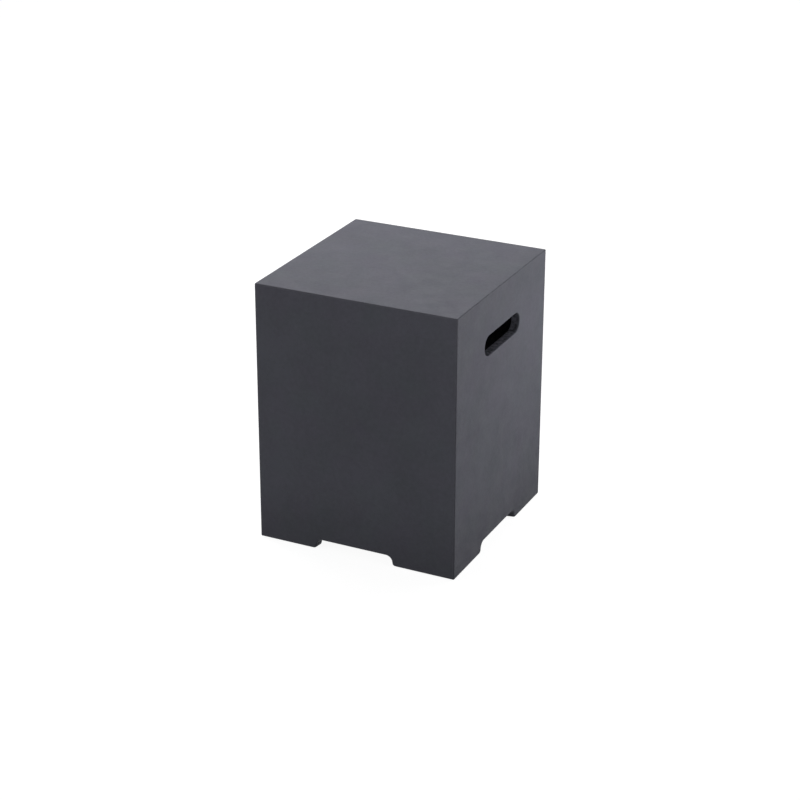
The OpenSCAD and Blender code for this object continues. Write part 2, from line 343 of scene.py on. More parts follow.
# zinc-plated steel: dull and bright crystals in soft clouds, coarser than they are, so that they show
def platedSteel(look):
    material, add, spot = startMaterial("zinc_plated_steel")
    crystals = add("ShaderNodeTexVoronoi", {"Vector": spot, "Scale": 1000 / look["crystalMm"]})
    draw = add("ShaderNodeSeparateColor", {0: crystals.outputs["Color"]}).outputs["Red"]
    cloud = add("ShaderNodeTexNoise", {"Vector": spot, "Scale": 1000 / look["cloudMm"], "Detail": 3.0})
    mixed = add("ShaderNodeMath", {0: draw, 1: 0.35, 2: cloud}, operation="MULTIPLY_ADD")
    shade = add("ShaderNodeMapRange", {"Value": mixed, "From Min": 0.4, "From Max": 0.95})
    colour = add("ShaderNodeMixRGB", {
        "Fac": shade, "Color1": hexColour(look["dull"]), "Color2": hexColour(look["bright"])})
    roughness = add("ShaderNodeMapRange", {
        "Value": shade, "To Min": look["rough"], "To Max": look["smooth"]})
    bump = add("ShaderNodeBump", {"Height": mixed, "Strength": 0.25, "Distance": 0.00004})
    return finishMaterial(material, add, {
        "Base Color": colour, "Metallic": 1.0, "Roughness": roughness, "Normal": bump})


nylonLook = {"grey": "#8d9093", "pale": "#9a9da0", "flowMm": 6.0, "roughness": 0.42}


# moulded nylon: waxy grey with faint flow marks along the plug
def mouldedNylon(look):
    material, add, spot = startMaterial("moulded_nylon")
    drawn = add("ShaderNodeMapping", {"Vector": spot, "Scale": (1.0, 1.0, 0.25)})
    flow = add("ShaderNodeTexNoise", {"Vector": drawn, "Scale": 1000 / look["flowMm"], "Detail": 3.0})
    colour = add("ShaderNodeMixRGB", {
        "Fac": flow, "Color1": hexColour(look["grey"]), "Color2": hexColour(look["pale"])})
    bump = add("ShaderNodeBump", {"Height": flow, "Strength": 0.2, "Distance": 0.0001})
    return finishMaterial(material, add, {
        "Base Color": colour, "Roughness": look["roughness"], "Normal": bump})


castFace, castBack = sealedConcrete(sealedLook), handLaidConcrete(handLaidLook)
strandGlass, rubber = glassStrand(strandLook), mouldedRubber(rubberLook)
steel, nylon = platedSteel(steelLook), mouldedNylon(nylonLook)
print("materials made")


# a grid box whose outermost steps are bent round into its arrises
def roundedBlockTree():
    tree, add, given = newTree("rounded_block", {
        "Size": (0.4, 0.4, 0.5), "Radius": 0.003, "Wear": 0.0, "Steps": 40, "Arc Steps": 5})
    steps = given["Steps"]
    box = add("GeometryNodeMeshCube", {
        "Size": (2.0, 2.0, 2.0), "Vertices X": steps, "Vertices Y": steps, "Vertices Z": steps})
    spot = add("GeometryNodeInputPosition")
    away = add("ShaderNodeVectorMath", {0: spot}, operation="ABSOLUTE")
    side = add("ShaderNodeVectorMath", {0: spot}, operation="SIGN")
    gaps = add("ShaderNodeMath", {0: steps, 1: 1.0}, operation="SUBTRACT")
    arcShare = add("ShaderNodeMath", {0: given["Arc Steps"], 1: gaps}, operation="DIVIDE")
    bend = add("ShaderNodeMath", {0: arcShare, 1: -2.0, 2: 1.0}, operation="MULTIPLY_ADD")
    flat = add("ShaderNodeVectorMath", {0: away, 1: bend}, operation="MINIMUM")
    flatShare = add("ShaderNodeVectorMath", {0: flat, 1: bend}, operation="DIVIDE")
    past = add("ShaderNodeVectorMath", {0: away, 1: flat}, operation="SUBTRACT")
    # each face turns 45 degrees over its part of an arris
    perTurn = add("ShaderNodeMath", {0: math.pi / 8, 1: arcShare}, operation="DIVIDE")
    angle = add("ShaderNodeVectorMath", {0: past, "Scale": perTurn}, operation="SCALE")
    lean = add("ShaderNodeVectorMath", {0: angle}, operation="TANGENT")
    outward = add("ShaderNodeVectorMath", {0: lean}, operation="NORMALIZE")
    uneven = add("ShaderNodeTexNoise", {"Vector": spot, "Scale": 4.0, "Detail": 2.0})
    swing = add("ShaderNodeMapRange", {"Value": uneven, "To Min": -1.0, "To Max": 1.0})
    radius = add("ShaderNodeMath", {0: swing, 1: given["Wear"], 2: given["Radius"]}, operation="MULTIPLY_ADD")
    half = add("ShaderNodeVectorMath", {0: given["Size"], "Scale": 0.5}, operation="SCALE")
    core = add("ShaderNodeVectorMath", {0: half, 1: radius}, operation="SUBTRACT")
    arc = add("ShaderNodeVectorMath", {0: outward, "Scale": radius}, operation="SCALE")
    reach = add("ShaderNodeVectorMath", {0: flatShare, 1: core, 2: arc}, operation="MULTIPLY_ADD")
    placed = add("ShaderNodeVectorMath", {0: reach, 1: side}, operation="MULTIPLY")
    shaped = add("GeometryNodeSetPosition", {"Geometry": box, "Position": placed})
    add("NodeGroupOutput", {"Mesh": shaped})
    return tree


# closed outline of a rounded opening, drawn about the origin
def roundedOutlineTree():
    tree, add, given = newTree("rounded_outline", {
        "Size X": 0.033, "Size Y": 0.154, "Radius": 0.0165, "Arc Steps": 16})
    sides = add("GeometryNodeCurvePrimitiveQuadrilateral", {
        "Width": given["Size X"], "Height": given["Size Y"]})
    rounded = add("GeometryNodeFilletCurve", {
        "Curve": sides, "Count": given["Arc Steps"], "Radius": given["Radius"],
        "Limit Radius": True}, mode="POLY")
    add("NodeGroupOutput", {"Mesh": rounded})
    return tree


# closed outline of a hose notch, with y downwards: its sides turn outwards at the foot, round the toes
def notchOutlineTree():
    tree, add, given = newTree("notch_outline", {
        "Width": 0.154, "Height": 0.019, "Flare": 0.0016, "Radius": 0.012, "Toe Radius": 0.0065, "Run": 0.03,
        "Arc Steps": 16})
    line = add("GeometryNodeMeshLine", {"Count": 8})
    index = add("GeometryNodeInputIndex")
    fromLast = add("ShaderNodeMath", {0: 7.0, 1: index}, operation="SUBTRACT")
    fromEnd = add("ShaderNodeMath", {0: index, 1: fromLast}, operation="MINIMUM")
    isStart = add("ShaderNodeMath", {0: fromEnd, 1: 0.5}, operation="LESS_THAN")
    isOutside = add("ShaderNodeMath", {0: fromEnd, 1: 1.5}, operation="LESS_THAN")
    isTop = add("ShaderNodeMath", {0: fromEnd, 1: 2.5}, operation="GREATER_THAN")
    half = add("ShaderNodeMath", {0: given["Width"], 1: 0.5, 2: given["Flare"]}, operation="MULTIPLY_ADD")
    drawnIn = add("ShaderNodeMath", {0: given["Flare"], 1: -2.0}, operation="MULTIPLY")
    half = add("ShaderNodeMath", {0: isTop, 1: drawnIn, 2: half}, operation="MULTIPLY_ADD")
    toeRun = add("ShaderNodeMath", {0: given["Toe Radius"], 1: 0.00001}, operation="ADD")  # room for its arc
    across = add("ShaderNodeMath", {0: isOutside, 1: toeRun, 2: half}, operation="MULTIPLY_ADD")
    side = add("ShaderNodeMath", {0: index, 1: 3.5}, operation="SUBTRACT")
    side = add("ShaderNodeMath", {0: side}, operation="SIGN")
    below = add("ShaderNodeMath", {0: isStart, 1: given["Run"]}, operation="MULTIPLY")
    above = add("ShaderNodeMath", {0: isTop, 1: given["Height"]}, operation="MULTIPLY")
    corner = add("ShaderNodeCombineXYZ", {
        "X": add("ShaderNodeMath", {0: across, 1: side}, operation="MULTIPLY"),
        "Y": add("ShaderNodeMath", {0: below, 1: above}, operation="SUBTRACT")})
    placed = add("GeometryNodeSetPosition", {"Geometry": line, "Position": corner})
    sides = add("GeometryNodeSetSplineCyclic", {
        "Geometry": add("GeometryNodeMeshToCurve", {"Mesh": placed}), "Cyclic": True})
    toeShare = add("ShaderNodeMath", {0: 1.0, 1: isOutside}, operation="SUBTRACT")
    toe = add("ShaderNodeMath", {0: toeShare, 1: given["Toe Radius"]}, operation="MULTIPLY")
    growth = add("ShaderNodeMath", {0: given["Radius"], 1: given["Toe Radius"]}, operation="SUBTRACT")
    radius = add("ShaderNodeMath", {0: isTop, 1: growth, 2: toe}, operation="MULTIPLY_ADD")
    rounded = add("GeometryNodeFilletCurve", {
        "Curve": sides, "Count": given["Arc Steps"], "Radius": radius, "Limit Radius": True}, mode="POLY")
    add("NodeGroupOutput", {"Mesh": rounded})
    return tree


# a closed cutter that draws an outline through a wall, in at z = 0 and out at z = Depth, and widens it
# along its normals where the edge is rolled at either face
def lippedCutterTree():
    tree, add, given = newTree("lipped_cutter", {
        "Depth": 0.016, "Outer Lip": 0.004, "Inner Lip": 0.003, "Outer Run": 0.01, "Inner Run": 0.01,
        "Draft": 0.0, "Ragged": 0.0, "Lip Steps": 6}, takes="Outline")
    tangent = add("GeometryNodeInputTangent")
    normal = add("ShaderNodeVectorMath", {0: tangent, 1: (0.0, 0.0, 1.0)}, operation="CROSS_PRODUCT")
    outline = add("GeometryNodeStoreNamedAttribute", {
        "Geometry": given["Outline"], "Name": "outward", "Value": normal},
        data_type="FLOAT_VECTOR", domain="POINT")
    lipSteps = given["Lip Steps"]
    levels = add("ShaderNodeMath", {0: lipSteps, 1: 2.0, 2: 3.0}, operation="MULTIPLY_ADD")
    rungs = add("GeometryNodeMeshLine", {
        "Count": add("ShaderNodeMath", {0: levels, 1: 1.0}, operation="ADD"), "Offset": (0.0, 0.0, 1.0)})
    prism = add("GeometryNodeCurveToMesh", {
        "Curve": add("GeometryNodeMeshToCurve", {"Mesh": rungs}), "Profile Curve": outline,
        "Fill Caps": True})
    spot = add("GeometryNodeInputPosition")
    rung = add("ShaderNodeSeparateXYZ", {0: spot}).outputs["Z"]
    lipEnd = add("ShaderNodeMath", {0: lipSteps, 1: 1.0}, operation="ADD")
    throatEnd = add("ShaderNodeMath", {0: lipSteps, 1: 2.0}, operation="ADD")
    backEnd = add("ShaderNodeMath", {0: levels, 1: 1.0}, operation="SUBTRACT")
    runIn = add("ShaderNodeMapRange", {"Value": rung, "To Min": -1.0, "To Max": 0.0})
    turnIn, through, turnOut, runOut = (
        add("ShaderNodeMapRange", {"Value": rung, "From Min": start, "From Max": end, "To Max": most})
        for start, end, most in ((1.0, lipEnd, math.pi / 2), (lipEnd, throatEnd, 1.0),
                                 (throatEnd, backEnd, math.pi / 2), (backEnd, levels, 1.0)))
    outerCos, innerCos = (add("ShaderNodeMath", {0: turn}, operation="COSINE") for turn in (turnIn, turnOut))
    outerSin, innerSin = (add("ShaderNodeMath", {0: turn}, operation="SINE") for turn in (turnIn, turnOut))
    outerDrop, outerOpen, innerOpen = (
        add("ShaderNodeMath", {0: 1.0, 1: part}, operation="SUBTRACT")
        for part in (outerCos, outerSin, innerCos))
    bothLips = add("ShaderNodeMath", {0: given["Outer Lip"], 1: given["Inner Lip"]}, operation="ADD")
    straight = add("ShaderNodeMath", {0: given["Depth"], 1: bothLips}, operation="SUBTRACT")
    depth = None
    for part, size in ((runIn, given["Outer Run"]), (outerDrop, given["Outer Lip"]), (through, straight),
                       (innerSin, given["Inner Lip"]), (runOut, given["Inner Run"])):
        depth = add("ShaderNodeMath", {0: part, 1: size, 2: depth or 0.0}, operation="MULTIPLY_ADD")

    # the inner edge is broken by hand, so it wanders, in chips about 11 mm long
    along = add("ShaderNodeVectorMath", {0: spot, 1: (90.0, 90.0, 0.3)}, operation="MULTIPLY")
    chips = add("ShaderNodeTexNoise", {"Vector": along, "Scale": 1.0, "Detail": 3.0})
    chipped = add("ShaderNodeMath", {
        0: chips, 1: given["Ragged"], 2: given["Inner Lip"]}, operation="MULTIPLY_ADD")
    opened = add("ShaderNodeMath", {0: outerOpen, 1: given["Outer Lip"]}, operation="MULTIPLY")
    opened = add("ShaderNodeMath", {0: innerOpen, 1: chipped, 2: opened}, operation="MULTIPLY_ADD")
    drawnIn = add("ShaderNodeMath", {0: through, 1: given["Draft"]}, operation="MULTIPLY")
    opened = add("ShaderNodeMath", {0: opened, 1: drawnIn}, operation="SUBTRACT")
    outward = add("GeometryNodeInputNamedAttribute", {"Name": "outward"}, data_type="FLOAT_VECTOR")
    flat = add("ShaderNodeVectorMath", {0: spot, 1: (1.0, 1.0, 0.0)}, operation="MULTIPLY")
    drawn = add("ShaderNodeVectorMath", {0: outward, 1: opened, 2: flat}, operation="MULTIPLY_ADD")
    sunk = add("ShaderNodeCombineXYZ", {"Z": depth})
    placed = add("ShaderNodeVectorMath", {0: drawn, 1: sunk}, operation="ADD")
    shaped = add("GeometryNodeSetPosition", {"Geometry": prism, "Position": placed})
    merged = add("GeometryNodeMergeByDistance", {"Geometry": shaped, "Distance": 0.000002})
    plain = add("GeometryNodeRemoveAttribute", {"Geometry": merged, "Name": "outward"})
    add("NodeGroupOutput", {"Mesh": plain})
    return tree


# the same mesh turned round the upright axis, so many times, each set up to Wander off its place
def turnedCopiesTree():
    tree, add, given = newTree("turned_copies", {"Count": 4, "Wander": 0.0, "Seed": 0}, takes="Mesh")
    middle = add("GeometryNodeMeshLine", {"Count": given["Count"], "Offset": (0.0, 0.0, 0.0)})
    step = add("ShaderNodeMath", {0: 2 * math.pi, 1: given["Count"]}, operation="DIVIDE")
    turn = add("ShaderNodeMath", {0: add("GeometryNodeInputIndex"), 1: step}, operation="MULTIPLY")
    turned = add("ShaderNodeCombineXYZ", {"Z": turn})
    copies = add("GeometryNodeInstanceOnPoints", {
        "Points": middle, "Instance": given["Mesh"], "Rotation": turned})
    back = add("ShaderNodeMath", {0: given["Wander"], 1: -1.0}, operation="MULTIPLY")
    off = add("FunctionNodeRandomValue", {
        "Min": back, "Max": given["Wander"], "Seed": given["Seed"]}, data_type="FLOAT")
    copies = add("GeometryNodeTranslateInstances", {
        "Instances": copies, "Translation": add("ShaderNodeCombineXYZ", {"X": off}), "Local Space": True})
    solid = add("GeometryNodeRealizeInstances", {"Geometry": copies})
    add("NodeGroupOutput", {"Mesh": solid})
    return tree


# millimetres, apart from whole numbers, which are counts, seeds and pieces to the square metre
castSizes = {
    "Width": (shellHigh.x - shellLow.x) / mm,
    "Height": (shellHigh.z - shellLow.z) / mm,
    "Stand": shellLow.z / mm,
    "Wall": 12.0, "Slab": 16.0, "Arris": 2.4, "Arris Wear": 0.4,
    "Core Radius": 30.0, "Ceiling Radius": 14.0, "Hand Waver": 0.7,
    "Edge Build": 5.5, "Rim Build": 11.0, "Rim Height": 40.0, "Block Radius": 44.0,
    "Mouth Ease": 3.0, "Mouth Clear": 0.6, "Mouth Depth": 15.0,
    "Notch Width": 155.5, "Notch Height": 19.0, "Notch Flare": 1.6, "Notch Radius": 13.0, "Toe Radius": 5.7,
    "Notch Arris": 3.0, "Notch Back": 4.5, "Notch Draft": 1.5, "Notch Ragged": 1.0,
    "Notch Wander": 3.6, "Notch Seed": 160,
    "Slot Length": 162.0, "Slot Height": 43.0, "Slot Centre": 408.0, "Slot Frame": 22.0,
    "Slot Lip": 2.0, "Slot Inner Lip": 1.5, "Slot Ragged": 1.5,
    "Foot Inset": 18.0, "Foot Recess": 22.6, "Foot Depth": 8.0, "Recess Lip": 0.6,
    "Plug Hole": 7.6, "Plug Depth": 30.0,
    "Pin-hole": 0.55, "Pin-hole Gap": 22.0, "Pin-hole Density": 220, "Seed": 5,
    "Run": 30.0, "Block Steps": 34, "Hollow Steps": 76,
}


# the inside of the casting as one closed mesh: walls, curve under the slab, thick rim and slot frames
def hollowFormTree(sizes):
    tree, add, given = newTree("hollow_form", sizes)
    inside = add("ShaderNodeMath", {0: given["Width"], 1: 0.5}, operation="MULTIPLY")
    inside = add("ShaderNodeMath", {0: inside, 1: given["Wall"]}, operation="SUBTRACT")
    rimInside = add("ShaderNodeMath", {0: inside, 1: given["Rim Build"]}, operation="SUBTRACT")
    across = add("ShaderNodeMath", {0: inside, 1: 2.0}, operation="MULTIPLY")
    ceiling = add("ShaderNodeMath", {0: given["Height"], 1: given["Slab"]}, operation="SUBTRACT")
    tall = add("ShaderNodeMath", {0: ceiling, 1: given["Run"]}, operation="ADD")
    middle = add("ShaderNodeMath", {0: tall, 1: -0.5, 2: ceiling}, operation="MULTIPLY_ADD")
    size = add("ShaderNodeCombineXYZ", {"X": across, "Y": across, "Z": tall})
    block = add("GeometryNodeGroup", {
        "Size": size, "Radius": given["Ceiling Radius"], "Wear": 0.0, "Steps": given["Hollow Steps"],
        "Arc Steps": 5}, node_tree=roundedBlock)
    raised = add("GeometryNodeTransform", {
        "Geometry": block, "Translation": add("ShaderNodeCombineXYZ", {"Z": middle})})

    # narrower between the corner blocks of the rim, with wider corners there
    spot = add("GeometryNodeInputPosition")
    height = add("ShaderNodeSeparateXYZ", {0: spot}).outputs["Z"]
    rimEnd = add("ShaderNodeMath", {
        0: given["Rim Build"], 1: 2.0, 2: given["Rim Height"]}, operation="MULTIPLY_ADD")
    half, corner = (
        add("ShaderNodeMapRange", {
            "Value": height, "From Min": given["Rim Height"], "From Max": rimEnd, "To Min": atRim,
            "To Max": above}, interpolation_type="SMOOTHSTEP")
        for atRim, above in ((rimInside, inside), (given["Block Radius"], given["Core Radius"])))
    away = add("ShaderNodeVectorMath", {0: spot}, operation="ABSOLUTE")
    plan = add("ShaderNodeVectorMath", {0: away, 1: (1.0, 1.0, 0.0)}, operation="MULTIPLY")
    side = add("ShaderNodeVectorMath", {0: spot}, operation="SIGN")
    held = add("ShaderNodeVectorMath", {0: plan, 1: half}, operation="MINIMUM")
    flatEnd = add("ShaderNodeMath", {0: half, 1: corner}, operation="SUBTRACT")
    flat = add("ShaderNodeVectorMath", {0: held, 1: flatEnd}, operation="MINIMUM")
    past = add("ShaderNodeVectorMath", {0: held, 1: flat}, operation="SUBTRACT")
    reach = add("ShaderNodeVectorMath", {0: past}, operation="LENGTH")
    reach = add("ShaderNodeMath", {0: reach, 1: corner}, operation="MAXIMUM")
    shrink = add("ShaderNodeMath", {0: corner, 1: reach}, operation="DIVIDE")
    drawn = add("ShaderNodeVectorMath", {0: past, 1: shrink, 2: flat}, operation="MULTIPLY_ADD")
    upright = add("ShaderNodeCombineXYZ", {"Z": height})
    placed = add("ShaderNodeVectorMath", {0: drawn, 1: side, 2: upright}, operation="MULTIPLY_ADD")
    walls = add("GeometryNodeSetPosition", {"Geometry": raised, "Position": placed})

    # a thick frame round each hand slot
    frameHalf = add("ShaderNodeMath", {
        0: given["Slot Height"], 1: 0.5, 2: given["Slot Frame"]}, operation="MULTIPLY_ADD")
    frameOut = add("ShaderNodeMath", {0: frameHalf, 1: given["Edge Build"]}, operation="ADD")
    frameIn = add("ShaderNodeMath", {0: frameHalf, 1: given["Edge Build"]}, operation="SUBTRACT")
    slotRun = add("ShaderNodeMath", {0: given["Slot Length"], 1: given["Slot Height"]}, operation="SUBTRACT")
    slotRun = add("ShaderNodeMath", {0: slotRun, 1: 0.5}, operation="MULTIPLY")
    slotHalf = add("ShaderNodeCombineXYZ", {"Y": slotRun})
    lower = add("ShaderNodeCombineXYZ", {"Z": given["Slot Centre"]})
    apart = spot  # ends as the distance from the line between the slot's two round ends
    for step, other in (("SUBTRACT", lower), ("MULTIPLY", (0.0, 1.0, 1.0)), ("ABSOLUTE", None),
                        ("SUBTRACT", slotHalf), ("MAXIMUM", (0.0, 0.0, 0.0)), ("LENGTH", None)):
        inputs = {0: apart} if other is None else {0: apart, 1: other}
        apart = add("ShaderNodeVectorMath", inputs, operation=step)
    build = add("ShaderNodeMapRange", {
        "Value": apart, "From Min": frameIn, "From Max": frameOut, "To Min": given["Edge Build"],
        "To Max": 0.0}, interpolation_type="SMOOTHSTEP")
    sideways = add("ShaderNodeSeparateXYZ", {0: away}).outputs["X"]
    bendStart = add("ShaderNodeMath", {0: inside, 1: given["Core Radius"]}, operation="SUBTRACT")
    onWall = add("ShaderNodeMath", {0: sideways, 1: bendStart}, operation="GREATER_THAN")
    build = add("ShaderNodeMath", {0: build, 1: onWall}, operation="MULTIPLY")
    build = add("ShaderNodeMath", {0: build, 1: -1.0}, operation="MULTIPLY")
    build = add("ShaderNodeCombineXYZ", {"X": build})
    build = add("ShaderNodeVectorMath", {0: build, 1: side}, operation="MULTIPLY")
    framed = add("GeometryNodeSetPosition", {"Geometry": walls, "Offset": build})

    # hand-laid, so nothing in there is quite flat: slow waves about 38 mm long
    slow = add("ShaderNodeTexNoise", {"Vector": spot, "Scale": 26.0, "Detail": 2.0})
    sway = add("ShaderNodeMapRange", {
        "Value": slow, "From Min": 0.25, "From Max": 0.75, "To Min": -1.0, "To Max": 1.0})
    sway = add("ShaderNodeMath", {0: sway, 1: given["Hand Waver"]}, operation="MULTIPLY")
    normal = add("GeometryNodeInputNormal")
    wave = add("ShaderNodeVectorMath", {0: normal, "Scale": sway}, operation="SCALE")
    laid = add("GeometryNodeSetPosition", {"Geometry": framed, "Offset": wave})
    add("NodeGroupOutput", {"Mesh": laid})
    return tree


# smooth faces, sharp at edges turned by more than so many degrees, in one mesh of one material
def finishSolid(add, mesh, sharpFrom, material):
    smooth = add("GeometryNodeSetShadeSmooth", {"Geometry": mesh, "Shade Smooth": True}, domain="FACE")
    turned = add("GeometryNodeInputMeshEdgeAngle")
    sharp = add("ShaderNodeMath", {0: turned, 1: math.radians(sharpFrom)}, operation="GREATER_THAN")
    creased = add("GeometryNodeSetShadeSmooth", {
        "Geometry": smooth, "Selection": sharp, "Shade Smooth": False}, domain="EDGE")
    whole = add("GeometryNodeRealizeInstances", {"Geometry": creased})
    return add("GeometryNodeSetMaterial", {"Geometry": whole, "Material": material})


# the block less its hollow, slots, notches, mouth, holes and pin-holes
def castShellTree(sizes):
    tree, add, given = newTree("cast_shell", sizes | {"Face": castFace, "Back": castBack})
    half = add("ShaderNodeMath", {0: given["Width"], 1: 0.5}, operation="MULTIPLY")
    thick = add("ShaderNodeMath", {0: given["Wall"], 1: given["Edge Build"]}, operation="ADD")
    rimThick = add("ShaderNodeMath", {0: given["Wall"], 1: given["Rim Build"]}, operation="ADD")

    # outside: a block with worn arrises
    size = add("ShaderNodeCombineXYZ", {"X": given["Width"], "Y": given["Width"], "Z": given["Height"]})
    block = add("GeometryNodeGroup", {
        "Size": size, "Radius": given["Arris"], "Wear": given["Arris Wear"], "Steps": given["Block Steps"],
        "Arc Steps": 5}, node_tree=roundedBlock)
    rise = add("ShaderNodeMath", {0: given["Height"], 1: 0.5}, operation="MULTIPLY")
    block = add("GeometryNodeTransform", {
        "Geometry": block, "Translation": add("ShaderNodeCombineXYZ", {"Z": rise})})

    hollow = add("GeometryNodeGroup", {label: given[label] for label in sizes}, node_tree=hollowForm)
    hollow = add("GeometryNodeStoreNamedAttribute", {
        "Geometry": hollow, "Name": "hand_laid", "Value": True}, data_type="BOOLEAN", domain="FACE")

    # hand slots, cut inwards from the two side walls
    slotTall, slotLong = (
        add("ShaderNodeMath", {0: given["Slot Lip"], 1: -2.0, 2: given[side]}, operation="MULTIPLY_ADD")
        for side in ("Slot Height", "Slot Length"))
    slotEnd = add("ShaderNodeMath", {0: slotTall, 1: 0.5}, operation="MULTIPLY")
    slot = add("GeometryNodeGroup", {
        "Size X": slotTall, "Size Y": slotLong, "Radius": slotEnd}, node_tree=roundedOutline)
    slot = add("GeometryNodeGroup", {
        "Outline": slot, "Depth": thick, "Outer Lip": given["Slot Lip"], "Inner Lip": given["Slot Inner Lip"],
        "Ragged": given["Slot Ragged"]}, node_tree=lippedCutter)
    slot = add("GeometryNodeTransform", {
        "Geometry": slot, "Rotation": (0.0, -math.pi / 2, 0.0),
        "Translation": add("ShaderNodeCombineXYZ", {"X": half, "Z": given["Slot Centre"]})})
    slots = add("GeometryNodeGroup", {"Mesh": slot, "Count": 2}, node_tree=turnedCopies)

    # hose notches, cut inwards through the foot of each wall
    notch = add("GeometryNodeGroup", {
        "Width": given["Notch Width"], "Height": given["Notch Height"], "Flare": given["Notch Flare"],
        "Radius": given["Notch Radius"], "Toe Radius": given["Toe Radius"], "Run": given["Run"]},
        node_tree=notchOutline)
    notch = add("GeometryNodeGroup", {
        "Outline": notch, "Depth": rimThick, "Outer Lip": given["Notch Arris"],
        "Inner Lip": given["Notch Back"], "Draft": given["Notch Draft"], "Ragged": given["Notch Ragged"]},
        node_tree=lippedCutter)
    front = add("ShaderNodeMath", {0: half, 1: -1.0}, operation="MULTIPLY")
    notch = add("GeometryNodeTransform", {
        "Geometry": notch, "Rotation": (-math.pi / 2, 0.0, 0.0),
        "Translation": add("ShaderNodeCombineXYZ", {"Y": front})})
    notches = add("GeometryNodeGroup", {
        "Mesh": notch, "Count": 4, "Wander": given["Notch Wander"], "Seed": given["Notch Seed"]},
        node_tree=turnedCopies)

    # the rim's inner edge, trowelled round
    mouthWide = add("ShaderNodeMath", {0: half, 1: rimThick}, operation="SUBTRACT")
    bothClear = add("ShaderNodeMath", {0: given["Mouth Clear"], 1: -2.0}, operation="MULTIPLY")
    mouthWide = add("ShaderNodeMath", {0: mouthWide, 1: 2.0, 2: bothClear}, operation="MULTIPLY_ADD")
    mouthRound = add("ShaderNodeMath", {
        0: given["Block Radius"], 1: given["Mouth Clear"]}, operation="SUBTRACT")
    mouth = add("GeometryNodeGroup", {
        "Size X": mouthWide, "Size Y": mouthWide, "Radius": mouthRound}, node_tree=roundedOutline)
    mouth = add("GeometryNodeGroup", {
        "Outline": mouth, "Depth": given["Mouth Depth"], "Outer Lip": given["Mouth Ease"],
        "Inner Lip": 0.0, "Inner Run": 0.0}, node_tree=lippedCutter)

    # recesses for the feet, and the holes for their plugs
    footPlace = add("ShaderNodeMath", {0: half, 1: given["Foot Inset"]}, operation="SUBTRACT")
    footPlace = add("ShaderNodeCombineXYZ", {"X": footPlace, "Y": footPlace})
    holes = []
    for across, depth, lip in (
            ("Foot Recess", "Foot Depth", given["Recess Lip"]), ("Plug Hole", "Plug Depth", 0.0)):
        radius = add("ShaderNodeMath", {0: given[across], 1: 0.5}, operation="MULTIPLY")
        hole = add("GeometryNodeGroup", {
            "Size X": given[across], "Size Y": given[across], "Radius": radius}, node_tree=roundedOutline)
        hole = add("GeometryNodeGroup", {
            "Outline": hole, "Depth": given[depth], "Outer Lip": lip, "Inner Lip": 0.0, "Inner Run": 0.0},
            node_tree=lippedCutter)
        hole = add("GeometryNodeTransform", {"Geometry": hole, "Translation": footPlace})
        holes.append(add("GeometryNodeGroup", {"Mesh": hole, "Count": 4}, node_tree=turnedCopies))

    # pin-holes that air left against the mould, the smallest a third of the size of the largest
    spots = add("GeometryNodeDistributePointsOnFaces", {
        "Mesh": block, "Distance Min": given["Pin-hole Gap"], "Density Max": given["Pin-hole Density"],
        "Seed": given["Seed"]},
        distribute_method="POISSON")
    bubble = add("GeometryNodeMeshIcoSphere", {"Radius": given["Pin-hole"], "Subdivisions": 1})
    sizeOf = add("FunctionNodeRandomValue", {
        "Min": 0.35, "Max": 1.0, "Seed": given["Seed"]}, data_type="FLOAT")
    bubbles = add("GeometryNodeInstanceOnPoints", {"Points": spots, "Instance": bubble, "Scale": sizeOf})
    bubbles = add("GeometryNodeRealizeInstances", {"Geometry": bubbles})

    carved = add("GeometryNodeMeshBoolean", {
        "Mesh 1": block, "Mesh 2": [hollow, slots, notches, mouth, *holes, bubbles]},
        operation="DIFFERENCE", solver="MANIFOLD")
    stood = add("GeometryNodeTransform", {
        "Geometry": carved, "Translation": add("ShaderNodeCombineXYZ", {"Z": given["Stand"]})})
    faced = finishSolid(add, stood, 32, given["Face"])
    handLaid = add("GeometryNodeInputNamedAttribute", {"Name": "hand_laid"}, data_type="BOOLEAN")
    backed = add("GeometryNodeSetMaterial", {
        "Geometry": faced, "Material": given["Back"], "Selection": handLaid})
    add("NodeGroupOutput", {"Mesh": backed})
    return tree


castMetres = inMetres(castSizes)
roundedBlock, turnedCopies = roundedBlockTree(), turnedCopiesTree()
roundedOutline, notchOutline, lippedCutter = roundedOutlineTree(), notchOutlineTree(), lippedCutterTree()
hollowForm = hollowFormTree(castMetres)
castShell = growPiece("castShell", castShellTree(castMetres), castMetres)
# the broad faces keep their own normals right up to the rounded arrises, so no shade runs into them
evenFlats = castShell.modifiers.new("evenFlats", "WEIGHTED_NORMAL")
evenFlats.keep_sharp = True
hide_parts("cast_shell")
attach(castShell, "root")
print("casting made:", len(castShell.data.polygons), "faces")


strandSizes = {
    "Strand Length": 17.0, "Strand Bend": 2.2, "Strand Radius": 0.32, "Strand Density": 900,
    "Clear of Rim": 62.0, "Strand Seed": 11,
}


